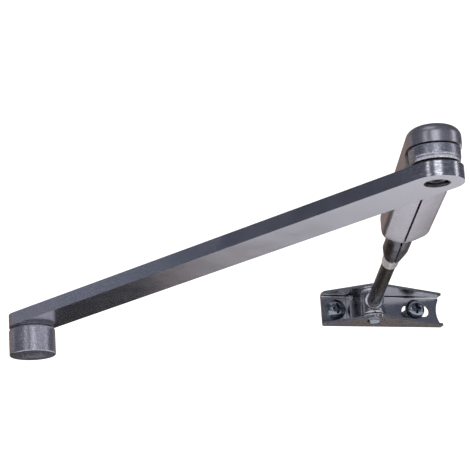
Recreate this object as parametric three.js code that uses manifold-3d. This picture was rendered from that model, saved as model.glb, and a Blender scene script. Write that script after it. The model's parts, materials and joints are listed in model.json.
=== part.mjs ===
// Articulated gate opener arm: a wall bracket, an adjustable forearm and a flat main arm.
// Millimetres, +Z up. The origin is on the bracket's back face, level with the rod's axis
// and in line with the bracket pin. The wall is at y = 0 and the arm reaches towards -Y.
import * as THREE from 'three';
import { mergeVertices } from 'three/addons/utils/BufferGeometryUtils.js';
import Module from 'manifold-3d';

const wasm = await Module();
wasm.setup();

// ---- driving dimensions ----
const GAP = 0.3; // clearance between touching pieces
const ROUND = 40; // sides of a large round piece
const FINE = 24; // sides of a small round piece

const PIN_TO_ELBOW = 282; // bracket pin to elbow pin
const ELBOW_TO_SPINDLE = 305; // elbow pin to the opener's spindle
const FOREARM_HEADING = -105.14; // degrees, from the bracket pin towards the elbow
const MAIN_ARM_HEADING = 114.27; // degrees, from the elbow towards the spindle

const BAR = { width: 25, thick: 7, bottom: -14.6, chamfer: 0.5, pinHole: 6.1 };
BAR.top = BAR.bottom + BAR.thick;

const SOCKET = { radius: 12.7, height: 14.6, chamfer: 1.1, collarHeight: 0.9, collarRadius: 12.0 };
SOCKET.top = BAR.bottom - GAP - SOCKET.collarHeight;
SOCKET.bottom = SOCKET.top - SOCKET.height;
const SPINDLE_SQUARE = { wide: 12.4, narrow: 10.8, depth: 12.4 };
const SPINDLE_SCREW = { shank: 3, head: 5.8, length: 13, key: 2.3, keyDepth: 2.2 };
SPINDLE_SCREW.hole = SPINDLE_SCREW.shank + 0.3;

const DISC = { radius: 11.8, bottomRadius: 11.1, bottom: -6.0, top: 1.1, edge: 0.45 };
const FRICTION_WASHER = { inner: 6.4, outer: 9.5, bottom: 0, top: 1.4 };
const ELBOW_PIN = { radius: 5, shoulder: 7.4, headHeight: 1.6, roof: 2.6 };
const BUSH = { inner: ELBOW_PIN.radius + 0.15, outer: BAR.pinHole - 0.15, bottom: BAR.bottom + 3 };
const ELBOW_WASHER = { inner: BUSH.outer + 0.25, outer: 10.2 };

const DOME = { radius: 12.6, skirt: 1.5, cornerBottom: 6.2, corner: 6.6, top: 11.7 };
const SHELL = {
  wall: 1.6, bottom: -6.3, halfWidth: 12.4, farHalfWidth: 12.2, farTop: 9.6,
  shoulderStart: 112, neckStart: 149, taperStart: 160, end: 172,
  slitStart: 34, slitWidth: 1.1, pocket: 14.0,
};
const NECK = { halfWidth: 6.8, halfHeight: 5.6, endRadius: 5.2, bore: 4.85 };
const SLEEVE = {
  inner: 4.1, outer: NECK.bore - 0.15, tail: 4.5, start: 140, tailStart: SHELL.end + GAP, end: 188,
};

const ROD = { radius: 4.0 - 0.1, start: 4.6, length: 124 };
const EYE = { radius: 7.0, height: 13.2, bore: 3.25 };
const EYE_BUSH = { inner: 2.65, outer: EYE.bore - 0.15 };

const BRACKET = {
  left: -25.8, right: 47.3, height: 19.8, sheet: 1.5, pin: 16.5, peak: 27.2, endDepth: 6.9,
  bend: 2.4, peakRadius: 5, roundHole: 3.3, roundHoleX: -17.5, slotX: 32.6, slotLength: 17.4,
  endHollow: 1.6, endHollowRadius: 14,
};
const PIN = { radius: 2.5, headRadius: 3.7, headHeight: 1.5 };
const STOP = { x: -10.6, thick: 2.4, front: -7.4 };
const SCREW = {
  head: 5.9, headHeight: 4.2, shank: 2.9, length: 16, proud: 3.2, offCentre: 2.0,
  cross: 2.6, crossHalfWidth: 0.55, crossDepth: 2,
};

// ---- solids ----
function solid(geometry) {
  const bare = geometry.clone();
  bare.deleteAttribute('normal');
  bare.deleteAttribute('uv');
  const merged = mergeVertices(bare, 1e-4);
  const mesh = new wasm.Mesh({
    numProp: 3,
    vertProperties: new Float32Array(merged.attributes.position.array),
    triVerts: new Uint32Array(merged.index.array),
  });
  return new wasm.Manifold(mesh);
}

function geometryOf(manifold) {
  const mesh = manifold.getMesh();
  const geometry = new THREE.BufferGeometry();
  geometry.setAttribute('position', new THREE.BufferAttribute(mesh.vertProperties, 3));
  geometry.setIndex(new THREE.BufferAttribute(mesh.triVerts, 1));
  geometry.computeVertexNormals();
  return geometry;
}

const points = (pairs) => pairs.map(([x, y]) => new THREE.Vector2(x, y));

// A solid turned about Z; the profile is [radius, z] pairs, from the lowest point upwards.
function turned(profile, sides = FINE) {
  return new THREE.LatheGeometry(points(profile), sides).rotateX(Math.PI / 2);
}

// A round bar about Z with a chamfer at each end.
function rod(radius, bottom, top, chamfer = 0.3, sides = FINE) {
  return turned([
    [0, bottom], [radius - chamfer, bottom], [radius, bottom + chamfer],
    [radius, top - chamfer], [radius - chamfer, top], [0, top],
  ], sides);
}

// A flat ring about Z, with a closed profile.
function ring(inner, outer, bottom, top, sides = FINE) {
  return turned([[inner, bottom], [outer, bottom], [outer, top], [inner, top], [inner, bottom]], sides);
}

// A plate of a plan outline, between two heights.
function plate(shape, bottom, top) {
  const options = { depth: top - bottom, bevelEnabled: false, curveSegments: 16 };
  return new THREE.ExtrudeGeometry(shape, options).translate(0, 0, bottom);
}

function box(x0, x1, y0, y1, z0, z1) {
  return new THREE.BoxGeometry(x1 - x0, y1 - y0, z1 - z0)
    .translate((x0 + x1) / 2, (y0 + y1) / 2, (z0 + z1) / 2);
}

// A stadium outline along X between two end centres.
function stadium(x0, x1, radius) {
  const shape = new THREE.Shape();
  shape.absarc(x1, 0, radius, -Math.PI / 2, Math.PI / 2, false);
  shape.absarc(x0, 0, radius, Math.PI / 2, 1.5 * Math.PI, false);
  shape.closePath();
  return shape;
}

const smooth = (t) => t * t * (3 - 2 * t);
const mix = (a, b, t) => a + (b - a) * t;
const ramp = (value, start, end) => THREE.MathUtils.clamp((value - start) / (end - start), 0, 1);

// ---- materials ----
function metal(color, roughness, metalness) {
  return new THREE.MeshStandardMaterial({ color, roughness, metalness });
}

const FINISH = {
  paint: metal(0x4a4a52, 0.45, 0.6),
  plated: metal(0x7d7f84, 0.3, 0.95),
  bright: metal(0xc8cacd, 0.2, 1.0),
  black: metal(0x242428, 0.4, 0.8),
  bronze: metal(0x8a6b45, 0.5, 0.9),
  nylon: metal(0x161618, 0.6, 0.0),
};

function node(group, name, geometry, finish) {
  const mesh = new THREE.Mesh(geometry, FINISH[finish]);
  mesh.name = name;
  group.add(mesh);
}

// ---- bracket: a folded channel with a roof-shaped pair of flanges ----
function bracketPlan() {
  const { left, right, endDepth, peak, peakRadius } = BRACKET;
  const slope = (end) => Math.atan2(peak - endDepth, Math.abs(end));
  const shape = new THREE.Shape();
  shape.moveTo(left, 1);
  shape.lineTo(left, -endDepth);
  const centre = -peak + peakRadius;
  const start = -Math.PI / 2 - slope(left);
  const finish = -Math.PI / 2 + slope(right);
  shape.absarc(0, centre, peakRadius, start, finish, false);
  shape.lineTo(right, -endDepth);
  shape.lineTo(right, 1);
  shape.closePath();
  return shape;
}

// The channel's section, drawn as (z, -y), with rounded bends.
function channelSection() {
  const { height, sheet, peak, bend } = BRACKET;
  const half = height / 2;
  const depth = peak + 1;
  const inner = bend - sheet;
  const shape = new THREE.Shape();
  shape.moveTo(-half, depth);
  shape.lineTo(-half, bend);
  shape.absarc(-half + bend, bend, bend, Math.PI, 1.5 * Math.PI, false);
  shape.absarc(half - bend, bend, bend, 1.5 * Math.PI, 2 * Math.PI, false);
  shape.lineTo(half, depth);
  shape.lineTo(half - sheet, depth);
  shape.absarc(half - bend, bend, inner, 0, -Math.PI / 2, true);
  shape.absarc(-half + bend, bend, inner, -Math.PI / 2, -Math.PI, true);
  shape.lineTo(-half + sheet, depth);
  shape.closePath();
  return shape;
}

function bracket() {
  const { left, right, height, sheet, roundHole, roundHoleX, slotX, slotLength } = BRACKET;
  const { endHollow, endHollowRadius } = BRACKET;
  const half = height / 2;
  const options = { depth: right - left, bevelEnabled: false, curveSegments: 6 };
  const channel = new THREE.ExtrudeGeometry(channelSection(), options)
    .rotateY(Math.PI / 2)
    .rotateX(-Math.PI)
    .translate(left, 0, 0);
  const plan = plate(bracketPlan(), -half, half);
  const pinHole = rod(PIN.radius + 0.15, -half - 1, half + 1, 0.1).translate(0, -BRACKET.pin, 0);
  const through = sheet + 2;
  const round = rod(roundHole, -through, through, 0.1).rotateX(Math.PI / 2).translate(roundHoleX, 0, 0);
  const reach = slotLength / 2 - roundHole;
  const slot = plate(stadium(slotX - reach, slotX + reach, roundHole), -through, through)
    .rotateX(Math.PI / 2);
  const hollow = rod(endHollowRadius, -through, through, 0.1, ROUND)
    .rotateX(Math.PI / 2)
    .translate(right + endHollowRadius - endHollow, 0, 0);
  return geometryOf(
    solid(channel).intersect(solid(plan)).subtract(solid(pinHole)).subtract(solid(round))
      .subtract(solid(slot)).subtract(solid(hollow)),
  );
}

// A rivet through both flanges, its heads outside them.
function bracketPin() {
  const face = BRACKET.height / 2 + GAP;
  const { radius, headRadius, headHeight } = PIN;
  const top = face + headHeight;
  return turned([
    [0, -top], [headRadius * 0.7, -top], [headRadius, -top + 0.6], [headRadius, -face],
    [radius, -face], [radius, face], [headRadius, face], [headRadius, top - 0.6],
    [headRadius * 0.7, top], [0, top],
  ]);
}

// A pan-head screw along +Y with a cross recess, its head's underside at y = 0.
function panScrew() {
  const { head, headHeight, shank, length, cross, crossHalfWidth, crossDepth } = SCREW;
  const body = turned([
    [0, -length], [shank - 1.2, -length], [shank, -length + 1.6], [shank, 0], [head, 0],
    [head, headHeight * 0.4], [head * 0.9, headHeight * 0.72], [head * 0.66, headHeight * 0.92],
    [head * 0.3, headHeight], [0, headHeight],
  ]);
  const floor = headHeight - crossDepth;
  const wing = (x, y) => solid(box(-x, x, -y, y, floor, headHeight + 1));
  const recess = wing(cross, crossHalfWidth).add(wing(crossHalfWidth, cross));
  return geometryOf(solid(body).subtract(recess)).rotateX(Math.PI / 2);
}

function buildBracket(root) {
  const { sheet, height, pin, roundHoleX, slotX } = BRACKET;
  node(root, 'bracket', bracket(), 'plated');
  node(root, 'bracket_pin', bracketPin().translate(0, -pin, 0), 'bright');
  const reach = height / 2 - sheet - GAP;
  const stop = box(STOP.x, STOP.x + STOP.thick, STOP.front, -sheet - GAP, -reach, reach);
  node(root, 'swing_stop', stop, 'plated');
  node(root, 'screw_fixed', panScrew().translate(roundHoleX, -sheet - GAP, 0), 'plated');
  node(root, 'screw_slot', panScrew().translate(slotX - SCREW.offCentre, -sheet - SCREW.proud, 0), 'plated');
}

// ---- rod end: an eye on the bracket pin, and the threaded rod screwed into it ----
function rodEye() {
  const { radius, height, bore } = EYE;
  const half = height / 2;
  const barrel = turned([
    [0, -half], [radius - 0.8, -half], [radius, -half + 0.8], [radius, half - 0.8],
    [radius - 0.8, half], [0, half],
  ]);
  const pinBore = rod(bore, -half - 1, half + 1, 0.1);
  const boss = rod(5.4, 0, ROD.start + 5.4, 0.5).rotateY(Math.PI / 2);
  const rodBore = rod(ROD.radius + 0.2, ROD.start - GAP, 20, 0.1).rotateY(Math.PI / 2);
  return geometryOf(solid(barrel).add(solid(boss)).subtract(solid(pinBore)).subtract(solid(rodBore)));
}

function buildRod(group) {
  const half = EYE.height / 2;
  const inside = BRACKET.height / 2 - BRACKET.sheet;
  const washer = (side) => {
    const low = half + GAP * 0.5;
    const high = inside - GAP * 0.5;
    return side > 0 ? ring(PIN.radius + 0.3, 6, low, high) : ring(PIN.radius + 0.3, 6, -high, -low);
  };
  node(group, 'rod_eye', rodEye(), 'plated');
  node(group, 'eye_bush', ring(EYE_BUSH.inner, EYE_BUSH.outer, -half, half), 'bronze');
  node(group, 'eye_washer_upper', washer(1), 'bright');
  node(group, 'eye_washer_lower', washer(-1), 'bright');
  const shaft = rod(ROD.radius, ROD.start, ROD.start + ROD.length, 0.8).rotateY(Math.PI / 2);
  node(group, 'adjusting_rod', shaft, 'black');
}

// ---- forearm: a folded sheet shell that narrows to a neck; x runs from the elbow to the pin ----
// Half width, lowest and highest point, and squareness of the shell's section at a place x.
function shellSection(x) {
  const body = ramp(x, 0, SHELL.shoulderStart);
  const turn = ramp(x, SHELL.shoulderStart, SHELL.neckStart);
  const fall = 1 - Math.sqrt(1 - turn * turn);
  const end = ramp(x, SHELL.taperStart, SHELL.end);
  const wide = mix(mix(SHELL.halfWidth, SHELL.farHalfWidth, body), NECK.halfWidth, fall);
  const low = mix(SHELL.bottom, -NECK.halfHeight, smooth(ramp(turn, 0.55, 1)));
  const high = mix(mix(DOME.top, SHELL.farTop, body), NECK.halfHeight, fall);
  return {
    wide: mix(wide, NECK.endRadius, end),
    low: mix(low, -NECK.endRadius, end),
    high: mix(high, NECK.endRadius, end),
    power: mix(0.52, 1, smooth(turn)),
  };
}

// A loft along X from a closed cylinder: each ring of points takes its place's section,
// a superellipse that is moved inwards by inset.
function loft(start, end, inset, steps, sides) {
  const geometry = new THREE.CylinderGeometry(1, 1, 1, sides, steps);
  const position = geometry.attributes.position;
  for (let i = 0; i < position.count; i += 1) {
    const along = position.getY(i) + 0.5;
    const x = mix(start, end, along);
    const radius = Math.hypot(position.getX(i), position.getZ(i));
    const angle = Math.atan2(position.getZ(i), position.getX(i));
    const { wide, low, high, power } = shellSection(x);
    const middle = (low + high) / 2;
    const halfHeight = (high - low) / 2 - inset;
    const rounded = (value, exponent) => Math.sign(value) * Math.abs(value) ** exponent;
    const y = (inset - wide) * rounded(Math.cos(angle), power) * radius;
    const z = middle + halfHeight * rounded(Math.sin(angle), power) * radius;
    position.setXYZ(i, x, y, z);
  }
  return solid(geometry);
}

function domeProfile(radius, bottom, top) {
  const corner = Math.min(DOME.corner, radius - 2);
  const profile = [[0, bottom], [radius, bottom]];
  const steps = 8;
  for (let i = 0; i <= steps; i += 1) {
    const angle = (i / steps) * (Math.PI / 2);
    const z = mix(DOME.cornerBottom, top - 0.3, Math.sin(angle));
    profile.push([radius - corner + corner * Math.cos(angle), z]);
  }
  profile.push([0, top]);
  return profile;
}

function forearmShell() {
  const { wall, end, neckStart, slitStart, slitWidth, pocket } = SHELL;
  const outer = solid(turned(domeProfile(DOME.radius, DOME.skirt, DOME.top), ROUND))
    .add(loft(0, end, 0, 22, 28));
  const innerDome = solid(turned(domeProfile(DOME.radius - wall, SHELL.bottom - 1, DOME.top - wall), ROUND));
  const cavity = innerDome.add(loft(1, neckStart - 3, wall, 12, 24));
  const bore = solid(rod(NECK.bore, neckStart - 12, end + 1, 0.1).rotateY(Math.PI / 2));
  const slit = solid(box(slitStart, end + 1, -slitWidth / 2, slitWidth / 2, SHELL.bottom - 2, -2));
  const room = solid(rod(pocket, SHELL.bottom - 2, DOME.skirt, 0.05, ROUND));
  return geometryOf(outer.subtract(room).subtract(cavity).subtract(bore).subtract(slit));
}

// The threaded sleeve in the neck; its bright tail shows past the neck's end.
function threadedSleeve() {
  const { inner, outer, tail, start, end, tailStart } = SLEEVE;
  return turned([
    [inner, start], [outer, start], [outer, tailStart], [tail, tailStart], [tail, end - 0.3],
    [tail - 0.3, end], [inner, end], [inner, start],
  ]).rotateY(Math.PI / 2);
}

function elbowHub() {
  const radius = DOME.radius - SHELL.wall - GAP;
  const top = DOME.top - SHELL.wall - ELBOW_PIN.roof;
  const body = turned([
    [0, DOME.skirt + 0.2], [radius, DOME.skirt + 0.2], [radius, DOME.cornerBottom],
    [radius * 0.86, top], [0, top],
  ], ROUND);
  return geometryOf(solid(body).subtract(solid(rod(ELBOW_PIN.radius + 0.15, -5, top + 5, 0.1))));
}

// The elbow pin: its head is inside the dome, its tail is peened inside the bar's hole.
function elbowPin() {
  const { radius, shoulder, headHeight, roof } = ELBOW_PIN;
  const headBottom = DOME.top - SHELL.wall - roof + GAP;
  const headTop = headBottom + headHeight;
  const tail = BAR.bottom + 1.4;
  return turned([
    [0, tail + 0.5], [radius * 0.45, tail + 0.5], [radius * 0.75, tail], [radius, tail + 0.8],
    [radius, headBottom], [shoulder, headBottom], [shoulder, headTop], [0, headTop],
  ]);
}

function buildForearm(group) {
  node(group, 'forearm_shell', forearmShell(), 'paint');
  node(group, 'elbow_hub', elbowHub(), 'plated');
  node(group, 'elbow_pin', elbowPin(), 'black');
  node(group, 'threaded_sleeve', threadedSleeve(), 'bright');
}

// ---- main arm: a flat bar with a spindle socket below its far end ----
function bar() {
  const half = BAR.width / 2;
  const options = {
    depth: BAR.thick - 2 * BAR.chamfer, bevelThickness: BAR.chamfer, bevelSize: BAR.chamfer,
    bevelSegments: 1, curveSegments: 20,
  };
  const blank = new THREE.ExtrudeGeometry(stadium(0, ELBOW_TO_SPINDLE, half - BAR.chamfer), options)
    .translate(0, 0, BAR.bottom + BAR.chamfer);
  const pinHole = rod(BAR.pinHole, BAR.bottom - 1, BAR.top + 1, 0.1);
  const { head, hole } = SPINDLE_SCREW;
  const sinkTop = BAR.top + 1;
  const sinkRadius = head + GAP + 1;
  const screwHole = turned([
    [0, BAR.bottom - 1], [hole, BAR.bottom - 1], [hole, sinkTop - (sinkRadius - hole)],
    [sinkRadius, sinkTop], [0, sinkTop],
  ]).translate(ELBOW_TO_SPINDLE, 0, 0);
  return geometryOf(solid(blank).subtract(solid(pinHole)).subtract(solid(screwHole)));
}

// The socket that takes the opener's square, tapered spindle.
function spindleSocket() {
  const { radius, top, bottom, chamfer, collarRadius, collarHeight } = SOCKET;
  const body = turned([
    [0, bottom], [radius - chamfer * 0.6, bottom], [radius, bottom + chamfer], [radius, top - chamfer],
    [radius - chamfer * 0.6, top - 0.2], [collarRadius, top], [collarRadius, top + collarHeight],
    [0, top + collarHeight],
  ], ROUND);
  const { wide, narrow, depth } = SPINDLE_SQUARE;
  const squareToRound = Math.SQRT1_2;
  const hole = new THREE.CylinderGeometry(narrow * squareToRound, wide * squareToRound, depth + 1, 4)
    .rotateX(Math.PI / 2)
    .translate(0, 0, bottom - 1 + (depth + 1) / 2);
  const screwHole = rod(SPINDLE_SCREW.hole, bottom, top + 3, 0.1);
  return geometryOf(solid(body).subtract(solid(hole)).subtract(solid(screwHole)));
}

// The countersunk screw that draws the socket onto the spindle, with a hexagon key socket.
function spindleScrew() {
  const { shank, head, length, key, keyDepth } = SPINDLE_SCREW;
  const top = BAR.top - 0.1;
  const neck = top - (head - shank);
  const body = turned([
    [0, top - length], [shank - 0.8, top - length], [shank, top - length + 0.8], [shank, neck],
    [head, top], [0, top],
  ]);
  const socket = new THREE.CylinderGeometry(key, key, keyDepth + 1, 6)
    .rotateX(Math.PI / 2)
    .translate(0, 0, top + 0.5 - keyDepth / 2);
  return geometryOf(solid(body).subtract(solid(socket)));
}

function elbowDisc() {
  const { radius, bottomRadius, bottom, top, edge } = DISC;
  const body = turned([
    [0, bottom], [bottomRadius - 0.4, bottom], [bottomRadius, bottom + 0.4],
    [radius - 0.15, bottom + 1.7], [radius - 0.15, bottom + 2.2], [radius, bottom + 2.6],
    [radius, top - edge], [radius - edge, top], [0, top],
  ], ROUND);
  const bore = solid(rod(BUSH.outer + 0.15, bottom - 1, top + 1, 0.1));
  const recess = solid(rod(FRICTION_WASHER.outer + GAP, FRICTION_WASHER.bottom - GAP, top + 1, 0.1));
  return geometryOf(solid(body).subtract(bore).subtract(recess));
}

function buildMainArm(group) {
  node(group, 'main_arm', bar(), 'paint');
  const washer = ring(ELBOW_WASHER.inner, ELBOW_WASHER.outer, BAR.top + 0.15, DISC.bottom - 0.15, ROUND);
  node(group, 'elbow_washer', washer, 'nylon');
  node(group, 'elbow_disc', elbowDisc(), 'paint');
  const { inner, outer, bottom, top } = FRICTION_WASHER;
  node(group, 'elbow_friction_washer', ring(inner, outer, bottom, top), 'bronze');
  node(group, 'elbow_bush', ring(BUSH.inner, BUSH.outer, BUSH.bottom, DISC.top - 0.2), 'bronze');
  node(group, 'spindle_socket', spindleSocket().translate(ELBOW_TO_SPINDLE, 0, 0), 'paint');
  node(group, 'spindle_screw', spindleScrew().translate(ELBOW_TO_SPINDLE, 0, 0), 'black');
}

// ---- assembly ----
const root = new THREE.Group();
buildBracket(root);

const pinGroup = new THREE.Group();
pinGroup.position.set(0, -BRACKET.pin, 0);
pinGroup.rotation.z = THREE.MathUtils.degToRad(FOREARM_HEADING);
root.add(pinGroup);
buildRod(pinGroup);

const forearmGroup = new THREE.Group();
forearmGroup.position.x = PIN_TO_ELBOW;
forearmGroup.rotation.z = Math.PI;
pinGroup.add(forearmGroup);
buildForearm(forearmGroup);

const mainArmGroup = new THREE.Group();
mainArmGroup.position.x = PIN_TO_ELBOW;
mainArmGroup.rotation.z = THREE.MathUtils.degToRad(MAIN_ARM_HEADING - FOREARM_HEADING);
pinGroup.add(mainArmGroup);
buildMainArm(mainArmGroup);

export default root;
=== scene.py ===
"""The looks of a gate opener arm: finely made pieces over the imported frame, with its metals.

Pieces are drawn in millimetres in their body's own local frame, then placed in metres.
"""
import json
import math

import bmesh
import bpy
from mathutils import Matrix, Vector


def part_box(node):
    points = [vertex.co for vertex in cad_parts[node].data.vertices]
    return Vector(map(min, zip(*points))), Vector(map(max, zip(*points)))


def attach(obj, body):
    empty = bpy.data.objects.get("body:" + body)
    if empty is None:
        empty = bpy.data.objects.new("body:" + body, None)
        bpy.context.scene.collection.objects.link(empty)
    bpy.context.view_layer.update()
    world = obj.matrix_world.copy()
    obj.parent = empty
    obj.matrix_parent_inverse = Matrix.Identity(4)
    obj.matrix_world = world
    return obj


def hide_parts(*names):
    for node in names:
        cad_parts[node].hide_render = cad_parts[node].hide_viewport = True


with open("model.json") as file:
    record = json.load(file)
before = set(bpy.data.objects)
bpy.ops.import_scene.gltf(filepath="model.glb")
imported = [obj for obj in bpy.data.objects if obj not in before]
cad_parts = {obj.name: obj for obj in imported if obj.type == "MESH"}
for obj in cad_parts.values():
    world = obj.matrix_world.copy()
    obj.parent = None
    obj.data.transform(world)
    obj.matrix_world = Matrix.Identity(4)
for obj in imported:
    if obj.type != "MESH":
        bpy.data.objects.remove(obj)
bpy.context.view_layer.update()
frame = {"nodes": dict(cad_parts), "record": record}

MM = 0.001
ROUND = 96  # sides of a round piece
SHARP = 32  # degrees past which an edge counts as sharp
WELD = 1e-4  # points closer than this become one
SPARE = 1.0  # how far a cutting tool reaches past the face that it opens
THROUGH = 30.0  # reach of a tool that cuts through everything

RECORD = frame["record"]
JOINTS = {joint["name"]: joint for joint in RECORD["behaviour"]["joints"]}
PIN = Vector(JOINTS["bracket_swing"]["pos_m"])
ELBOW = Vector(JOINTS["elbow_fold"]["pos_m"])
SOCKET = (Vector(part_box("spindle_socket")[0]) + Vector(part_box("spindle_socket")[1])) / 2


# ---- places ----
def heading(start, end):
    """The turn about Z that takes +X to the direction from start to end."""
    return math.atan2(end.y - start.y, end.x - start.x)


def place(origin, angle=0.0):
    """A matrix from local millimetres, with X at that angle, to the shared frame in metres."""
    at = Vector((origin[0], origin[1], 0.0))
    return Matrix.Translation(at) @ Matrix.Rotation(angle, 4, "Z") @ Matrix.Scale(MM, 4)


AT_BRACKET = place((0.0, 0.0))
AT_PIN = place(PIN, heading(PIN, ELBOW))
AT_FOREARM = place(ELBOW, heading(ELBOW, PIN))
AT_MAIN_ARM = place(ELBOW, heading(ELBOW, SOCKET))
AT_SOCKET = place(SOCKET, heading(ELBOW, SOCKET))
ARM_LENGTH = math.dist(ELBOW.xy, SOCKET.xy) / MM


def extent(node):
    """Radius, lowest and highest point in millimetres of an upright round node."""
    low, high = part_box(node)
    return (high[0] - low[0]) / 2 / MM, low[2] / MM, high[2] / MM


def corners(node):
    """Lowest and highest corner in millimetres of a node's box."""
    low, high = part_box(node)
    return Vector(low) / MM, Vector(high) / MM


# ---- mesh tools, all in local millimetres ----
def mesh_object(name, bm):
    """Turns a mesh under construction into an object, with its faces pointing out."""
    bmesh.ops.remove_doubles(bm, verts=bm.verts, dist=WELD)
    bmesh.ops.recalc_face_normals(bm, faces=bm.faces)
    mesh = bpy.data.meshes.new(name)
    bm.to_mesh(mesh)
    bm.free()
    obj = bpy.data.objects.new(name, mesh)
    bpy.context.scene.collection.objects.link(obj)
    return obj


def skin(name, rings, solid=True):
    """Joins equal rings of points into a capped solid, or rows of points into an open sheet."""
    bm = bmesh.new()
    rows = [[bm.verts.new(point) for point in ring] for ring in rings]
    count = len(rows[0])
    for one, two in zip(rows, rows[1:]):
        for i in range(count if solid else count - 1):
            j = (i + 1) % count
            bm.faces.new((one[i], one[j], two[j], two[i]))
    if solid:
        bm.faces.new(rows[0])
        bm.faces.new(rows[-1])
    return mesh_object(name, bm)


def turned(name, profile, sides=ROUND):
    """A solid turned about Z from (radius, z) points; it starts and ends on the axis, or closes."""
    bm = bmesh.new()
    angles = [2 * math.pi * i / sides for i in range(sides)]
    rows = []
    for radius, z in profile:
        if radius == 0:
            rows.append([bm.verts.new((0, 0, z))] * sides)
        else:
            rows.append([bm.verts.new((radius * math.cos(a), radius * math.sin(a), z)) for a in angles])
    for one, two in zip(rows, rows[1:]):
        for i in range(sides):
            j = (i + 1) % sides
            face = list(dict.fromkeys((one[i], one[j], two[j], two[i])))
            if len(face) > 2:
                bm.faces.new(face)
    return mesh_object(name, bm)


def ring_profile(inner, outer, low, high, chamfer):
    """A flat ring's closed profile, with its four corners broken."""
    c = chamfer
    points = [
        (inner + c, low), (outer - c, low), (outer, low + c), (outer, high - c),
        (outer - c, high), (inner + c, high), (inner, high - c), (inner, low + c),
    ]
    return points + points[:1]


def prism(name, outline, low, high):
    """An outline of (x, y) points made solid between two heights."""
    return skin(name, [[(x, y, z) for x, y in outline] for z in (low, high)])


def arc(centre, radius, start, end, steps=16):
    """Points of an arc, with its angles in degrees."""
    angles = [math.radians(start + (end - start) * i / steps) for i in range(steps + 1)]
    return [(centre[0] + radius * math.cos(a), centre[1] + radius * math.sin(a)) for a in angles]


def turn(obj, degrees, axis):
    obj.data.transform(Matrix.Rotation(math.radians(degrees), 4, axis))
    return obj


def shift(obj, x=0.0, y=0.0, z=0.0):
    obj.data.transform(Matrix.Translation((x, y, z)))
    return obj


def apply_modifiers(obj):
    graph = bpy.context.evaluated_depsgraph_get()
    mesh = bpy.data.meshes.new_from_object(obj.evaluated_get(graph))
    obj.modifiers.clear()
    obj.data = mesh
    return obj


def combine(obj, tool, operation="DIFFERENCE"):
    """Cuts, joins or intersects obj with tool, which is used up."""
    modifier = obj.modifiers.new(operation.lower(), "BOOLEAN")
    modifier.operation = operation
    modifier.solver = "EXACT"
    modifier.object = tool
    apply_modifiers(obj)
    bpy.data.objects.remove(tool)
    return obj


def soften(obj, width, segments=2, angle=SHARP):
    """Rounds every sharp edge a little."""
    modifier = obj.modifiers.new("soften", "BEVEL")
    modifier.width = width
    modifier.segments = segments
    modifier.limit_method = "ANGLE"
    modifier.angle_limit = math.radians(angle)
    modifier.use_clamp_overlap = True
    return apply_modifiers(obj)


def hole(radius, low, high, x=0.0, y=0.0):
    """A round cutting tool along Z."""
    return shift(turned("tool", [(0, low), (radius, low), (radius, high), (0, high)]), x, y)


def done(obj, where, body, material, node):
    """Places a piece, gives it its finish, and lets it stand for its CAD node."""
    obj.data.transform(where)
    obj.data.materials.clear()
    obj.data.materials.append(material)
    obj.data.shade_smooth()
    obj.data.set_sharp_from_angle(angle=math.radians(SHARP))
    flat = obj.modifiers.new("flat_faces_stay_flat", "WEIGHTED_NORMAL")
    flat.keep_sharp = True
    apply_modifiers(obj)
    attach(obj, body)
    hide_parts(node)


def add_finishes(obj, materials, choice):
    """Adds further materials, and gives each face the one whose number choice holds for it."""
    for material in materials:
        obj.data.materials.append(material)
    obj.data.polygons.foreach_set("material_index", choice)


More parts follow.
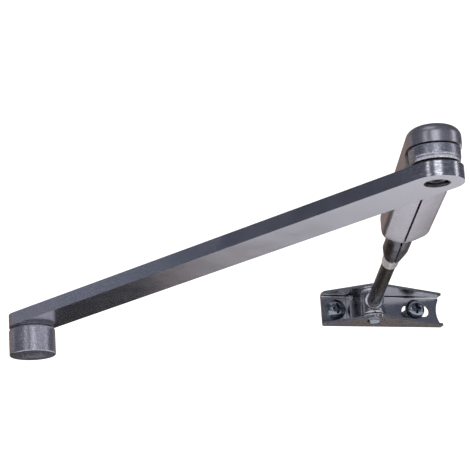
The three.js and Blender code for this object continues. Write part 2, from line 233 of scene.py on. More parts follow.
# ---- materials ----
class Nodes:
    """A short way to write a material's node tree; noise scales are per metre."""

    def __init__(self, name):
        self.material = bpy.data.materials.new(name)
        self.material.use_nodes = True
        self.tree = self.material.node_tree
        self.shader = self.tree.nodes["Principled BSDF"]
        self.place = self.tree.nodes.new("ShaderNodeTexCoord").outputs["Object"]

    def link(self, source, target):
        self.tree.links.new(source, target)

    def noise(self, scale, detail=3.0, roughness=0.55, vector=None):
        node = self.tree.nodes.new("ShaderNodeTexNoise")
        node.inputs["Scale"].default_value = scale
        node.inputs["Detail"].default_value = detail
        node.inputs["Roughness"].default_value = roughness
        self.link(vector or self.place, node.inputs["Vector"])
        return node.outputs["Fac"]

    def ramp(self, source, low, high, dark, light):
        """Maps source from low..high to two colours."""
        node = self.tree.nodes.new("ShaderNodeValToRGB")
        for element, at, colour in zip(node.color_ramp.elements, (low, high), (dark, light)):
            element.position = at
            element.color = (*colour, 1)
        self.link(source, node.inputs["Fac"])
        return node.outputs["Color"]

    def span(self, source, low, high, first, last):
        """Maps source from low..high to first..last."""
        node = self.tree.nodes.new("ShaderNodeMapRange")
        node.inputs["From Min"].default_value = low
        node.inputs["From Max"].default_value = high
        node.inputs["To Min"].default_value = first
        node.inputs["To Max"].default_value = last
        self.link(source, node.inputs["Value"])
        return node.outputs["Result"]

    def stretch(self, scale):
        """Coordinates stretched along the axes, for grain that runs one way."""
        node = self.tree.nodes.new("ShaderNodeMapping")
        node.inputs["Scale"].default_value = scale
        self.link(self.place, node.inputs["Vector"])
        return node.outputs["Vector"]

    def mix(self, factor, one, two):
        """Mixes two colours."""
        node = self.tree.nodes.new("ShaderNodeMix")
        node.data_type = "RGBA"
        colours = [socket for socket in node.inputs if socket.type == "RGBA"]
        self.link(factor, node.inputs["Factor"])
        self.link(one, colours[0])
        self.link(two, colours[1])
        return next(socket for socket in node.outputs if socket.type == "RGBA")

    def math(self, operation, one, two):
        """Combines two values, each a number or another node's output."""
        node = self.tree.nodes.new("ShaderNodeMath")
        node.operation = operation
        for socket, value in zip(node.inputs, (one, two)):
            if isinstance(value, (int, float)):
                socket.default_value = value
            else:
                self.link(value, socket)
        return node.outputs[0]

    def bump(self, height, strength, distance):
        node = self.tree.nodes.new("ShaderNodeBump")
        node.inputs["Strength"].default_value = strength
        node.inputs["Distance"].default_value = distance
        self.link(height, node.inputs["Height"])
        self.link(node.outputs["Normal"], self.shader.inputs["Normal"])

    def finish(self, metallic, colour, roughness):
        self.shader.inputs["Metallic"].default_value = metallic
        self.link(colour, self.shader.inputs["Base Color"])
        self.link(roughness, self.shader.inputs["Roughness"])
        return self.material


def tint(colour, factor):
    return tuple(min(1.0, channel * factor) for channel in colour)


def sparkle_paint(name, colour, roughness, contrast=1.0, grain_depth=0.35, worn=None):
    """Metallic paint: fine bright flakes over a soft mottle; worn is where it is rubbed bright."""
    n = Nodes(name)
    flakes = n.noise(1500, 2.0)
    mottle = n.noise(60, 4.0)
    grain = n.math("ADD", n.math("MULTIPLY", mottle, 0.4), n.math("MULTIPLY", n.noise(1100, 1.0), 0.6))
    base = n.ramp(grain, 0.36, 0.64, tint(colour, 1 - 0.26 * contrast), tint(colour, 1 + 0.22 * contrast))
    bright = n.ramp(mottle, 0.3, 0.7, tint(colour, 1 + 0.6 * contrast), tint(colour, 1 + 0.9 * contrast))
    shade = n.mix(n.span(flakes, 0.57, 0.66, 0.0, 1.0), base, bright)
    gloss = n.span(mottle, 0.3, 0.7, roughness * 0.88, roughness * 1.12)
    if worn is not None:
        scratches = n.noise(1000, 6.0, 0.75, n.stretch((0.35, 0.35, 1.3)))
        mask = n.math("MULTIPLY", worn(n), n.span(scratches, 0.49, 0.54, 0.0, 1.0))
        shade = n.mix(mask, shade, n.ramp(scratches, 0.4, 0.7, (0.55, 0.56, 0.6), (0.9, 0.9, 0.93)))
    n.bump(n.math("ADD", flakes, n.math("MULTIPLY", n.noise(350, 2.0), 0.5)), grain_depth, 0.06 * MM)
    return n.finish(1.0, shade, gloss)


def near_elbow_rim(n):
    """Near one on the bar's rim close to the elbow, falling to nothing a short way along the bar."""
    away = n.tree.nodes.new("ShaderNodeVectorMath")
    away.operation = "DISTANCE"
    n.link(n.place, away.inputs[0])
    low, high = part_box("main_arm")
    away.inputs[1].default_value = (ELBOW.x, ELBOW.y, (low[2] + high[2]) / 2)
    facing = n.tree.nodes.new("ShaderNodeSeparateXYZ")
    n.link(n.tree.nodes.new("ShaderNodeNewGeometry").outputs["Normal"], facing.inputs[0])
    upright = n.span(n.math("ABSOLUTE", facing.outputs["Z"], 0.0), 0.2, 0.8, 1.0, 0.0)
    return n.math("MULTIPLY", upright, n.span(away.outputs["Value"], 12.5 * MM, 16.5 * MM, 0.9, 0.0))


def worked_steel(name, colour, roughness, metallic=1.0, lengthen=(1.0, 1.0, 1.0), grain=0.3):
    """Steel with drawn or turned grain and slight stains."""
    n = Nodes(name)
    lines = n.noise(1200, 3.0, 0.6, n.stretch(lengthen))
    stain = n.noise(90, 5.0, 0.6)
    dull = n.ramp(stain, 0.25, 0.75, tint(colour, 0.86), tint(colour, 1.02))
    clear = n.ramp(stain, 0.25, 0.75, tint(colour, 0.98), tint(colour, 1.18))
    shade = n.mix(n.span(lines, 0.35, 0.65, 0.0, 1.0), dull, clear)
    gloss = n.span(lines, 0.3, 0.7, roughness * (1 - grain), roughness * (1 + grain))
    n.bump(lines, 0.05, 0.03 * MM)
    return n.finish(metallic, shade, gloss)


def nylon(name, dark, light):
    """Matt moulded plastic with a fine surface."""
    n = Nodes(name)
    fine = n.noise(1500, 3.0)
    shade = n.ramp(fine, 0.3, 0.7, dark, light)
    n.bump(fine, 0.2, 0.05 * MM)
    return n.finish(0.0, shade, n.span(fine, 0.3, 0.7, 0.45, 0.6))


GUNMETAL = (0.45, 0.45, 0.52)
PAINT = sparkle_paint("gunmetal_paint", GUNMETAL, 0.33)
ARM_PAINT = sparkle_paint("gunmetal_paint_rubbed", GUNMETAL, 0.22, 0.45, 0.03, near_elbow_rim)
# A much darker copy of the gunmetal paint for the neck: painted shade, so the neck reads darker than the
# body.
NECK_SHADE_PAINT = sparkle_paint("gunmetal_paint_painted_shade", (0.065, 0.07, 0.1), 0.26)
FOREARM_PAINT = sparkle_paint("gunmetal_paint_fine", (0.49, 0.475, 0.54), 0.31, 0.4, 0.06)
PLATED = worked_steel("plated_steel", (0.44, 0.44, 0.48), 0.2, lengthen=(1.0, 1.0, 4.0), grain=0.2)
SCREW_STEEL = worked_steel("screw_steel", (0.24, 0.27, 0.31), 0.16)
BRIGHT = worked_steel("bright_steel", (0.9, 0.91, 0.94), 0.16, metallic=0.72)
BLACK = worked_steel("black_steel", (0.014, 0.014, 0.02), 0.2, lengthen=(1.0, 1.0, 0.3), grain=0.15)
BRONZE = worked_steel("sintered_bronze", (0.42, 0.28, 0.14), 0.42, grain=0.2)
NYLON = nylon("black_nylon", (0.006, 0.006, 0.007), (0.02, 0.02, 0.022))
# Matt white for the shell's pocket wall: a painted highlight, standing in for the bright patch beside the
# knuckle.
POCKET_HIGHLIGHT_WHITE = nylon("pale_painted_highlight", (0.8, 0.8, 0.79), (0.9, 0.9, 0.89))


# ---- bracket ----
BRACKET_LOW, BRACKET_HIGH = corners("bracket")
SHEET = 1.5
BEND = 2.4
FLANGE_END = 6.9  # how far the flanges stand out at the bracket's ends
PEAK_RADIUS = 5.0
PIN_RADIUS = 2.5
PIN_HOLE = 2.65
SCREW_HOLE = 3.3
FIXED_X = -17.5
FIXED_LENGTH = 6.62
SLOT_X = 32.6
SLOT_LENGTH = 17.4
HOLLOW_RADIUS = 14.0
HOLLOW_DEPTH = 1.6
BACK_CUT = 4.0  # reach of a tool that cuts only the bracket's back


def channel():
    """The folded channel before its flanges are trimmed."""
    half = BRACKET_HIGH.z
    depth = -BRACKET_LOW.y + SPARE
    inner = BEND - SHEET
    section = [(-half, depth)]
    section += arc((-half + BEND, BEND), BEND, 180, 270, 10)
    section += arc((half - BEND, BEND), BEND, 270, 360, 10)
    section += [(half, depth), (half - SHEET, depth)]
    section += arc((half - BEND, BEND), inner, 0, -90, 8)
    section += arc((-half + BEND, BEND), inner, -90, -180, 8)
    section += [(-half + SHEET, depth)]
    ends = (BRACKET_LOW.x, BRACKET_HIGH.x)
    return skin("bracket_channel", [[(x, -out, z) for z, out in section] for x in ends])


def roof_outline():
    """The flanges' plan: low at both ends, with a rounded peak in front of the pin."""
    left, right, front = BRACKET_LOW.x, BRACKET_HIGH.x, -BRACKET_LOW.y
    slope_left = math.degrees(math.atan2(front - FLANGE_END, -left))
    slope_right = math.degrees(math.atan2(front - FLANGE_END, right))
    peak = arc((0, -front + PEAK_RADIUS), PEAK_RADIUS, 270 - slope_left, 270 + slope_right)
    return [(left, SPARE), (left, -FLANGE_END), *peak, (right, -FLANGE_END), (right, SPARE)]


def screw_cut(centre, length):
    """A cutting tool for a screw's hole or slot in the bracket's back."""
    reach = length / 2 - SCREW_HOLE
    right = arc((centre + reach, 0), SCREW_HOLE, -90, 90)
    left = arc((centre - reach, 0), SCREW_HOLE, 90, 270)
    return turn(prism("tool", right + left, -BACK_CUT, BACK_CUT), 90, "X")


def build_bracket():
    obj = channel()
    combine(obj, prism("tool", roof_outline(), -THROUGH, THROUGH), "INTERSECT")
    combine(obj, hole(PIN_HOLE, -THROUGH, THROUGH, 0, PIN.y / MM))
    combine(obj, screw_cut(FIXED_X, FIXED_LENGTH))
    combine(obj, screw_cut(SLOT_X, SLOT_LENGTH))
    hollow_x = BRACKET_HIGH.x + HOLLOW_RADIUS - HOLLOW_DEPTH
    combine(obj, turn(hole(HOLLOW_RADIUS, -BACK_CUT, BACK_CUT, hollow_x), 90, "X"))
    soften(obj, 0.22)
    done(obj, AT_BRACKET, "bracket_body", PLATED, "bracket")


def build_bracket_pin():
    """A rivet with the same low crown on both heads, given as shares of its radius and height."""
    radius, _, high = extent("bracket_pin")
    face = BRACKET_HIGH.z + 0.05
    crown = [(0.0, 1.0), (0.35, 0.97), (0.62, 0.86), (0.82, 0.66), (0.95, 0.36), (1.0, 0.08)]
    top = [(radius * r, face + (high - face) * h) for r, h in crown]
    bottom = [(r, -z) for r, z in top]
    shank = [(radius, -face), (PIN_RADIUS, -face), (PIN_RADIUS, face), (radius, face)]
    obj = turned("bracket_rivet", bottom + shank + top[::-1], 64)
    done(obj, place(PIN), "bracket_body", SCREW_STEEL, "bracket_pin")


def build_stop():
    low, high = corners("swing_stop")
    corner = 1.2
    outline = [(low.z, high.y), *arc((low.z + corner, low.y + corner), corner, 180, 270, 6)]
    outline += [*arc((high.z - corner, low.y + corner), corner, 270, 360, 6), (high.z, high.y)]
    rings = [[(x, y, z) for z, y in outline] for x in (low.x, high.x)]
    obj = soften(skin("swing_stop_tab", rings), 0.3, 3)
    done(obj, AT_BRACKET, "bracket_body", PLATED, "swing_stop")


# ---- threads and screws ----
THREAD_DEPTH = 0.45  # of the M6 screws, whose pitch is 1 mm
HEAD_HEIGHT = 4.2


def thread(name, radius, start, end, pitch, depth, chamfer):
    """A closed rod about Z whose surface is a helix, with both ends chamfered."""
    sides = 48
    rows_in_a_turn = 10
    count = round((end - start) / pitch * rows_in_a_turn)
    rings = []
    for row in range(count + 1):
        z = start + (end - start) * row / count
        edge = min(1.0, min(z - start, end - z) / chamfer)
        limit = radius - 1.3 * depth * (1 - edge)
        ring = []
        for i in range(sides):
            angle = 2 * math.pi * i / sides
            phase = (z / pitch - i / sides) % 1.0
            crest = min(1.0, 1.5 * (1 - abs(2 * phase - 1)))
            r = min(radius - depth * (1 - crest), limit)
            ring.append((r * math.cos(angle), r * math.sin(angle), z))
        rings.append(ring)
    return skin(name, rings)


def cross_recess(depth, reach, half_width):
    """A cutting tool with four tapered wings, pointing down from z = 0."""
    wings = []
    for angle in (0, 90):
        rings = []
        for z, scale in ((0.5, 1.15), (-depth, 0.55)):
            half = half_width * scale
            length = reach * scale
            rings.append([(-length, -half, z), (length, -half, z), (length, half, z), (-length, half, z)])
        wings.append(turn(skin("wing", rings), angle, "Z"))
    return combine(wings[0], wings[1], "UNION")


def build_screw(name, node):
    """A pan-head screw whose head points to -Y; its crown is shares of its radius and height."""
    low, high = corners(node)
    radius = (high.x - low.x) / 2
    seat = -(low.y + HEAD_HEIGHT)
    length = high.y + seat
    crown = [(0.0, 1.0), (0.3, 0.985), (0.55, 0.93), (0.75, 0.82), (0.9, 0.62), (0.975, 0.4), (1.0, 0.2)]
    profile = [(0, -0.5), (2.6, -0.5), (2.6, 0), (radius - 0.25, 0), (radius, 0.25)]
    profile += [(radius * r, HEAD_HEIGHT * h) for r, h in reversed(crown)]
    recess = shift(cross_recess(2.4, 3.0, 0.8), z=HEAD_HEIGHT)
    head = soften(combine(turned(name, profile), recess), 0.1, 2, 40)
    shank = thread(name + "_shank", 2.9, -length, -0.2, 1.0, THREAD_DEPTH, 1.2)
    for piece in (head, shank):
        turn(piece, 90, "X")
        shift(piece, (low.x + high.x) / 2, -seat, (low.z + high.z) / 2)
        done(piece, AT_BRACKET, "bracket_body", SCREW_STEEL, node)


# ---- rod end ----
def build_eye():
    """A short barrel about the bracket pin, with a boss towards the rod along X."""
    _, low, high = extent("rod_eye")
    radius = 7.0
    barrel = [
        (0, low), (radius - 1.2, low), (radius - 0.4, low + 0.3), (radius, low + 1.0), (radius * 0.97, 0),
        (radius, high - 1.0), (radius - 0.4, high - 0.3), (radius - 1.2, high), (0, high),
    ]
    obj = turned("rod_eye_barrel", barrel)
    boss = [(0, 0), (5.4, 0), (5.4, 9.2), (5.1, 9.9), (4.2, 10.0), (0, 10.0)]
    combine(obj, turn(turned("tool", boss), 90, "Y"), "UNION")
    bush_hole = 3.25
    combine(obj, hole(bush_hole, low - SPARE, high + SPARE))
    rod_hole = 4.05
    combine(obj, turn(hole(rod_hole, 4.3, 20), 90, "Y"))
    soften(obj, 0.25)
    done(obj, AT_PIN, "rod_body", PLATED, "rod_eye")


def build_rod():
    """A plain shaft from the eye, then an M8 thread that is hidden in the sleeve."""
    low, high = corners("adjusting_rod")
    radius = (high.z - low.z) / 2
    start = 4.6
    plain_end = 96.0
    end = 128.6
    shaft = [
        (0, start), (radius - 0.5, start), (radius, start + 0.5), (radius, plain_end - 0.6),
        (radius - 0.3, plain_end), (0, plain_end),
    ]
    obj = turned("adjusting_rod_shaft", shaft)
    screw = thread("adjusting_rod_thread", radius, plain_end + 0.02, end, 1.25, 0.6, 1.2)
    for piece in (obj, screw):
        done(turn(piece, 90, "Y"), AT_PIN, "rod_body", BLACK, "adjusting_rod")


def build_eye_rings():
    washer_hole = 2.8
    for node, inner, material in (
        ("eye_bush", PIN_HOLE, BRONZE),
        ("eye_washer_upper", washer_hole, BRIGHT),
        ("eye_washer_lower", washer_hole, BRIGHT),
    ):
        radius, low, high = extent(node)
        obj = turned(node + "_ring", ring_profile(inner, radius, low, high, 0.2), 64)
        done(obj, place(PIN), "rod_body", material, node)


# ---- forearm shell: X runs from the elbow to the neck ----
SHELL_WALL = 1.6
SHELL_END = 172.0
SHOULDER = (112.0, 149.0)  # where the body's sides turn in
TO_NECK = (116.0, 141.0)  # where the body's section becomes the neck's
BODY_HALF = (12.6, 12.2)  # half width, at the elbow and at the shoulder
BODY_LOW = (-6.2, -6.9)
BODY_TOP = (11.7, 9.8)
BODY_SIDE = (6.2, 3.8)  # where the flat side ends and the roof's bend begins
CORNER_RADIUS = 2.9
CORNER_HEIGHT = 4.2  # of the corner's centre above the lowest point
KEEL = 1.25  # how far the underside's edge lies above its middle
ROOF_BEND = 6.6
CAMBER = 0.3
UNDERSIDE_STEPS = 8  # across half of the underside, and again round its corner
UNDERSIDE_END = 127.0  # in the middle; towards the sides it ends earlier, on an arc
UNDERSIDE_ARC = 13.0
UNDERSIDE_HALF = 12.5
NECK = {  # half sizes, and where along X its waist ends and its taper starts
    "wide": 6.8, "tall": 5.6, "waist": 4.4, "end": 5.2, "bore": 4.85, "waist_end": 146.0, "taper": 160.0,
}
POCKET_RADIUS = 14.0
POCKET_TOP = 1.5
SLIT_START = 34.0
SLIT_HALF = 0.55


def ease(value, start, end):
    return min(1.0, max(0.0, (value - start) / (end - start)))


def blend(one, two, factor):
    return one + (two - one) * factor


def smooth(t):
    return t * t * (3 - 2 * t)


def underside_end(y):
    """Where the body's underside steps up to the neck: an arc across the shell."""
    return UNDERSIDE_END - UNDERSIDE_ARC * (1 - math.sqrt(max(0.0, 1 - (y / UNDERSIDE_HALF) ** 2)))


def body_rib(x, inset):
    """Half of the body's section at x as (y, z) points, from its lowest to its highest middle."""
    along = ease(x, 0, SHOULDER[0])
    turning = ease(x, *SHOULDER)
    fall = 1 - math.sqrt(1 - turning * turning)
    half = blend(blend(*BODY_HALF, along), NECK["wide"], fall) - inset
    low = blend(*BODY_LOW, along) + inset
    top = blend(blend(*BODY_TOP, along), NECK["tall"], fall) - inset
    side = blend(*BODY_SIDE, along)
    corner_y = half - CORNER_RADIUS
    corner_z = low + CORNER_HEIGHT
    shares = [i / UNDERSIDE_STEPS for i in range(UNDERSIDE_STEPS + 1)]
    keel = [(t * corner_y, low + KEEL * t ** 2.2) for t in shares]
    corner = arc((corner_y, corner_z), CORNER_RADIUS, -84, 0, UNDERSIDE_STEPS)
    wall = [(half, blend(corner_z, side, i / 6)) for i in range(1, 6)]
    bend = max(ROOF_BEND - inset, 2.0)
    roof = [
        (half - bend + bend * math.cos(a), side + (top - CAMBER - side) * math.sin(a))
        for a in (math.pi / 2 * i / 12 for i in range(13))
    ]
    crown = [((half - bend) * (1 - t), top - CAMBER * (1 - t) ** 2) for t in (i / 5 for i in range(1, 6))]
    return keel + corner + wall + roof + crown


def neck_rib(x, inset, count):
    """Half of the neck's round section at x, with count points in the same order as the body's."""
    end = ease(x, NECK["taper"], SHELL_END)
    waist = blend(NECK["waist"], NECK["tall"], ease(x, UNDERSIDE_END, NECK["waist_end"]))
    wide = blend(NECK["wide"], NECK["end"], end) - inset
    tall = blend(waist, NECK["end"], end) - inset
    angles = [math.pi * (i / (count - 1) - 0.5) for i in range(count)]
    return [(wide * math.cos(a), tall * math.sin(a)) for a in angles]


def shell_rib(x, inset=0.0):
    """Half of the shell's section at x: the body's, turning into the neck's, first on its underside."""
    body = body_rib(x, inset)
    neck = neck_rib(x, inset, len(body))
    change = smooth(ease(x, *TO_NECK))
    underside_points = 2 * (UNDERSIDE_STEPS + 1)
    rib = []
    for i, (outer, inner) in enumerate(zip(body, neck)):
        step = underside_end(outer[0])
        rise = smooth(ease(x, step - 1.0, step + 1.5)) if i < underside_points else change
        rib.append((blend(outer[0], inner[0], change), blend(outer[1], inner[1], rise)))
    return rib


def shell_skin(name, end, step, inset=0.0):
    """The shell's outside, or its inside at an inset: a round end at the elbow, then the loft."""
    sides = 48
    count = round(end / step)
    places = [end * i / count for i in range(count + 1)]
    ribs = [[(x, y, z) for y, z in shell_rib(x, inset)] for x in reversed(places)]
    first = shell_rib(0.0, inset)
    for i in range(1, sides):
        angle = math.pi / 2 + math.pi * i / sides
        ribs.append([(r * math.cos(angle), r * math.sin(angle), z) for r, z in first])
    ribs += [[(x, -y, z) for y, z in shell_rib(x, inset)] for x in places]
    bm = bmesh.new()
    rows = [[bm.verts.new(point) for point in rib] for rib in ribs]
    for one, two in zip(rows, rows[1:]):
        for i in range(len(one) - 1):
            bm.faces.new((one[i], one[i + 1], two[i + 1], two[i]))
    bmesh.ops.remove_doubles(bm, verts=bm.verts, dist=10 * WELD)
    bmesh.ops.dissolve_degenerate(bm, edges=bm.edges, dist=WELD)
    bmesh.ops.holes_fill(bm, edges=[edge for edge in bm.edges if edge.is_boundary])
    return mesh_object(name, bm)


def shell_finish(centre):
    """The number of a face's finish: 0 for the body's paint, 1 for the neck's much darker copy of it
    (painted shade), 2 for the matt white on the pocket wall (a painted highlight).
    """
    x, y, z = centre
    if x > underside_end(y) + 0.8:
        return 1
    # The pocket wall takes the matt white that paints a highlight there.
    on_pocket_wall = z < POCKET_TOP - 0.1 and abs(math.hypot(x, y) - POCKET_RADIUS) < 0.1
    return 2 if on_pocket_wall else 0


def build_shell():
    obj = shell_skin("forearm_cover", SHELL_END, 1.0)
    combine(obj, hole(POCKET_RADIUS, -THROUGH, POCKET_TOP))
    combine(obj, shell_skin("tool", SHOULDER[1] - 4, 3.0, SHELL_WALL))
    past_end = SHELL_END + 5
    combine(obj, turn(hole(NECK["bore"], SHOULDER[1] - 12, past_end), 90, "Y"))
    slit = [
        (SLIT_START, -SLIT_HALF), (past_end, -SLIT_HALF), (past_end, SLIT_HALF), (SLIT_START, SLIT_HALF),
    ]
    combine(obj, prism("tool", slit, -THROUGH, -2))
    soften(obj, 0.18, 2, 50)
    finishes = [shell_finish(face.center) for face in obj.data.polygons]
    done(obj, AT_FOREARM, "forearm_body", FOREARM_PAINT, "forearm_shell")
    # The neck takes the darker copy of the paint as painted shade; the pocket wall takes the matt white
    # as a painted highlight.
    add_finishes(obj, (NECK_SHADE_PAINT, POCKET_HIGHLIGHT_WHITE), finishes)


def build_sleeve():
    """A tube that is black inside the neck, as painted shade for what the slit shows, and bright where it
    comes out at the shell's end.
    """
    inner = 4.1
    outer = 4.7
    tail = 4.5
    start = 140.0
    end = 188.0
    step = SHELL_END + 0.3
    profile = [
        (inner, start), (outer, start), (outer, step), (tail, step), (tail, end - 0.4), (tail - 0.3, end),
        (inner, end), (inner, start),
    ]
    obj = turn(turned("threaded_sleeve_tube", profile), 90, "Y")
    # Faces inside the neck take black steel: painted shade seen through the slit.
    finishes = [1 if face.center.x < step else 0 for face in obj.data.polygons]
    done(obj, AT_FOREARM, "forearm_body", BRIGHT, "threaded_sleeve")
    add_finishes(obj, (BLACK,), finishes)


# ---- elbow ----
DISC_HOLE = 6.1


def build_elbow_pin():
    """A rivet whose lower end is peened over a dimple."""
    _, low, high = extent("elbow_pin")
    head = 7.4
    radius = 5.0
    shoulder = high - 1.6
    profile = [
        (0, low + 0.9), (1.6, low + 0.8), (2.6, low + 0.1), (3.6, low), (4.6, low + 0.35),
        (radius, low + 0.9), (radius, shoulder), (head - 0.3, shoulder), (head, shoulder + 0.3),
        (head, high - 0.4), (head - 0.5, high), (0, high),
    ]
    done(turned("elbow_pin_rivet", profile), place(ELBOW), "forearm_body", BLACK, "elbow_pin")


def build_elbow_rings():
    for node, inner, material in (
        ("elbow_washer", 6.2, NYLON),
        ("elbow_friction_washer", 6.4, BRONZE),
        ("elbow_bush", 5.15, BRONZE),
    ):
        radius, low, high = extent(node)
        obj = turned(node + "_ring", ring_profile(inner, radius, low, high, 0.15))
        done(obj, place(ELBOW), "main_arm_body", material, node)


def build_disc():
    """The knuckle ring: a rolled lower edge with a faint groove, and a recess for the washer on top."""
    radius, low, high = extent("elbow_disc")
    recess = 9.8
    recess_floor = -0.3
    profile = [
        (DISC_HOLE, low), (radius - 1.3, low), (radius - 0.75, low + 0.2), (radius - 0.45, low + 0.7),
        (radius - 0.2, low + 1.7), (radius - 0.28, low + 1.95), (radius - 0.1, low + 2.3),
        (radius, low + 2.9), (radius, high - 0.6), (radius - 0.2, high - 0.2), (radius - 0.7, high),
        (recess, high), (recess, recess_floor), (DISC_HOLE, recess_floor), (DISC_HOLE, low),
    ]
    done(turned("elbow_knuckle", profile, 128), place(ELBOW), "main_arm_body", PAINT, "elbow_disc")


# ---- main arm ----
SPINDLE_HOLE = 3.3


def build_bar():
    """A flat bar with round ends, a hole at the elbow and a countersunk hole over the socket."""
    _, low, high = extent("main_arm")
    half = 12.5
    far = arc((ARM_LENGTH, 0), half, -90, 90, 64)
    near = arc((0, 0), half, 90, 270, 64)
    obj = prism("main_arm_bar", far + near, low, high)
    combine(obj, hole(DISC_HOLE, low - SPARE, high + SPARE))
    sink = [
        (0, low - SPARE), (SPINDLE_HOLE, low - SPARE), (SPINDLE_HOLE, high - 2.8), (7.1, high + SPARE),
        (0, high + SPARE),
    ]
    combine(obj, shift(turned("tool", sink), ARM_LENGTH))
    soften(obj, 0.7, 1)
    done(obj, AT_MAIN_ARM, "main_arm_body", ARM_PAINT, "main_arm")


def build_socket():
    """A round boss with a groove below the bar and a tapered square hole from below."""
    radius, low, high = extent("spindle_socket")
    neck = high - 0.9
    profile = [
        (0, low), (radius - 0.3, low), (radius, low + 0.3), (radius, neck - 1.3),
        (radius - 0.35, neck - 0.45), (radius - 1.0, neck - 0.1), (radius - 2.6, neck),
        (radius - 2.6, neck + 0.4), (radius - 0.5, high - 0.25), (radius - 0.5, high), (0, high),
    ]
    obj = turned("spindle_socket_boss", profile, 128)
    rings = []
    for z, across_flats in ((low - SPARE, 12.4), (low + 12.4, 10.8)):
        reach = across_flats / math.sqrt(2)
        rings.append([(reach, 0, z), (0, reach, z), (-reach, 0, z), (0, -reach, z)])
    combine(obj, skin("tool", rings))
    combine(obj, hole(SPINDLE_HOLE, low, high + SPARE))
    soften(obj, 0.25)
    done(obj, AT_SOCKET, "main_arm_body", PAINT, "spindle_socket")


def build_spindle_screw():
    """A countersunk M6 screw with a hexagon key hole."""
    radius, low, high = extent("spindle_screw")
    neck = 3.0
    head = radius - neck
    cone = [
        (0, -head - 0.4), (neck, -head - 0.4), (neck, -head), (radius - 0.1, -0.1), (radius - 0.2, 0),
        (0, 0),
    ]
    obj = turned("spindle_screw_head", cone)
    key_hole = prism("tool", arc((0, 0), 2.3, 0, 300, 5), -2.2, SPARE)
    combine(obj, key_hole)
    shank = thread("spindle_screw_shank", 2.95, low - high, -head - 0.35, 1.0, THREAD_DEPTH, 1.0)
    for piece in (obj, shank):
        shift(piece, z=high)
        done(piece, AT_SOCKET, "main_arm_body", BLACK, "spindle_screw")


def finish_hub():
    """The hub is hidden, so it keeps its CAD shape."""
    hub = frame["nodes"]["elbow_hub"]
    hub.data.materials.clear()
    hub.data.materials.append(PLATED)


build_bracket()
build_bracket_pin()
build_stop()
build_screw("fixed_screw", "screw_fixed")
build_screw("slot_screw", "screw_slot")
build_eye()
build_rod()
build_eye_rings()
build_shell()
build_sleeve()
build_elbow_pin()
build_elbow_rings()
build_disc()
build_bar()
build_socket()
build_spindle_screw()
finish_hub()


# ---- camera, floor and light, in metres ----
def direction(azimuth, elevation):
    """The unit vector at that azimuth, from +X, and elevation, in degrees."""
    a, e = math.radians(azimuth), math.radians(elevation)
    return Vector((math.cos(a) * math.cos(e), math.sin(a) * math.cos(e), math.sin(e)))


TARGET = Vector((-0.1394, -0.1961, -0.0136))
CAMERA_DISTANCE = 1.0
LOOK = direction(71.88, 15.65)
CAMERA_ROLL = -3.57
FOCAL_LENGTH = 160.85
FLOOR_Z = -0.36


def build_camera():
    data = bpy.data.cameras.new("camera")
    data.lens = FOCAL_LENGTH
    data.sensor_width = 36.0
    data.clip_start = 0.01
    camera = bpy.data.objects.new("camera", data)
    bpy.context.scene.collection.objects.link(camera)
    roll = Matrix.Rotation(math.radians(CAMERA_ROLL), 4, "Z")
    aim = LOOK.to_track_quat("-Z", "Y").to_matrix().to_4x4()
    camera.matrix_world = Matrix.Translation(TARGET - LOOK * CAMERA_DISTANCE) @ aim @ roll
    bpy.context.scene.camera = camera


def build_floor():
    bm = bmesh.new()
    bmesh.ops.create_grid(bm, x_segments=8, y_segments=8, size=4.0)
    floor = shift(mesh_object("floor", bm), z=FLOOR_Z)
    n = Nodes("pale_floor")
    shade = n.ramp(n.noise(6, 2.0), 0.3, 0.7, (0.81, 0.805, 0.81), (0.82, 0.815, 0.82))
    n.finish(0.0, shade, n.span(n.noise(60, 2.0), 0.3, 0.7, 0.75, 0.85))
    floor.data.materials.append(n.material)


def panel(name, azimuth, elevation, distance, size, glow, colour=(1, 1, 1), at=TARGET):
    """A soft light panel facing a point; glow is how bright the panel itself looks."""
    data = bpy.data.lights.new(name, "AREA")
    data.shape = "RECTANGLE"
    data.size, data.size_y = size
    data.energy = glow * math.pi * size[0] * size[1]
    data.color = colour
    light = bpy.data.objects.new(name, data)
    bpy.context.scene.collection.objects.link(light)
    light.visible_camera = False
    towards = direction(azimuth, elevation)
    aim = (-towards).to_track_quat("-Z", "Y").to_matrix().to_4x4()
    light.matrix_world = Matrix.Translation(at + towards * distance) @ aim


def build_panels():
    panel("front_softbox", -100, 14, 1.3, (0.6, 0.45), 1.25)
    panel("left_strip", -140, 13, 1.3, (0.25, 0.5), 1.0)
    panel("right_strip", -24, 13, 1.3, (0.2, 0.6), 1.8)
    panel("sky_panel", -125, 60, 1.5, (0.8, 0.8), 0.6)
    panel("left_wall", 152, 13, 0.9, (0.3, 0.5), 0.2, (0.86, 0.97, 1.14), SOCKET)


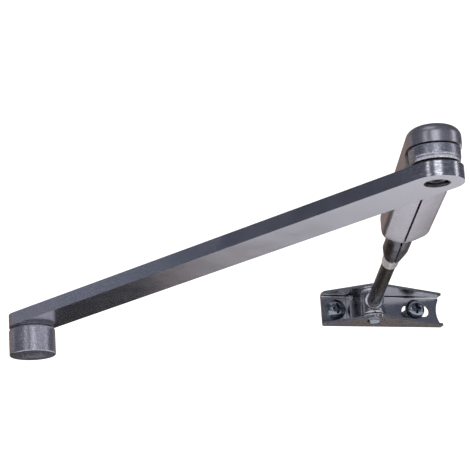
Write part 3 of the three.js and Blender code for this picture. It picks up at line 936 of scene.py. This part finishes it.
def backdrop(name, y, edge, top, low_colour, high_colour):
    """A wall across +Y that only reflections see; edge is its lower outline as (x, z) points."""
    rows = [[(x, y, z) for x, z in edge], [(x, y, top) for x, _ in edge]]
    wall = skin(name, rows, solid=False)
    n = Nodes(name)
    height = n.tree.nodes.new("ShaderNodeSeparateXYZ")
    n.link(n.place, height.inputs[0])
    glow = n.ramp(n.span(height.outputs["Z"], -0.12, 0.12, 0.0, 1.0), 0.0, 1.0, low_colour, high_colour)
    n.link(glow, n.shader.inputs["Emission Color"])
    n.shader.inputs["Emission Strength"].default_value = 1.0
    n.shader.inputs["Base Color"].default_value = (0, 0, 0, 1)
    wall.data.materials.append(n.material)
    wall.visible_camera = False
    wall.visible_diffuse = False
    wall.visible_shadow = False


def build_backdrops():
    """A brown wall that stands clear of the floor on the right, and a black screen on the left."""
    foot = FLOOR_Z + 0.001
    raised = -0.262
    left = -1.2
    right = 1.2
    edge = [(left, foot), (0.0, foot), (0.09, raised), (right, raised)]
    backdrop("brown_wall", 0.6, edge, 0.9, (0.075, 0.05, 0.038), (0.26, 0.195, 0.16))
    black = (0.008, 0.008, 0.01)
    backdrop("dark_screen", 0.25, [(left, foot), (-0.055, foot)], -0.02, black, black)


def build_world():
    """White to the eye and to matt surfaces; a dim room, lighter behind the camera, in reflections."""
    world = bpy.data.worlds.new("studio")
    world.use_nodes = True
    tree = world.node_tree
    white = tree.nodes["Background"]
    white.inputs["Color"].default_value = (1, 1, 1, 1)
    white.inputs["Strength"].default_value = 1.3
    room = tree.nodes.new("ShaderNodeBackground")
    path = tree.nodes.new("ShaderNodeLightPath")
    mix = tree.nodes.new("ShaderNodeMixShader")
    way = tree.nodes.new("ShaderNodeSeparateXYZ")
    ramp = tree.nodes.new("ShaderNodeValToRGB")
    span = tree.nodes.new("ShaderNodeMapRange")
    span.inputs["From Min"].default_value = -1.0
    tree.links.new(tree.nodes.new("ShaderNodeTexCoord").outputs["Generated"], way.inputs[0])
    tree.links.new(way.outputs["Y"], span.inputs["Value"])
    tree.links.new(span.outputs["Result"], ramp.inputs["Fac"])
    ramp.color_ramp.elements[0].color = (0.125, 0.14, 0.175, 1)
    ramp.color_ramp.elements[1].color = (0.045, 0.05, 0.065, 1)
    tree.links.new(ramp.outputs["Color"], room.inputs["Color"])
    tree.links.new(path.outputs["Is Glossy Ray"], mix.inputs["Fac"])
    tree.links.new(white.outputs["Background"], mix.inputs[1])
    tree.links.new(room.outputs["Background"], mix.inputs[2])
    tree.links.new(mix.outputs["Shader"], tree.nodes["World Output"].inputs["Surface"])
    bpy.context.scene.world = world


build_camera()
build_floor()
build_backdrops()
build_world()
build_panels()
bpy.context.scene.view_settings.view_transform = "Standard"
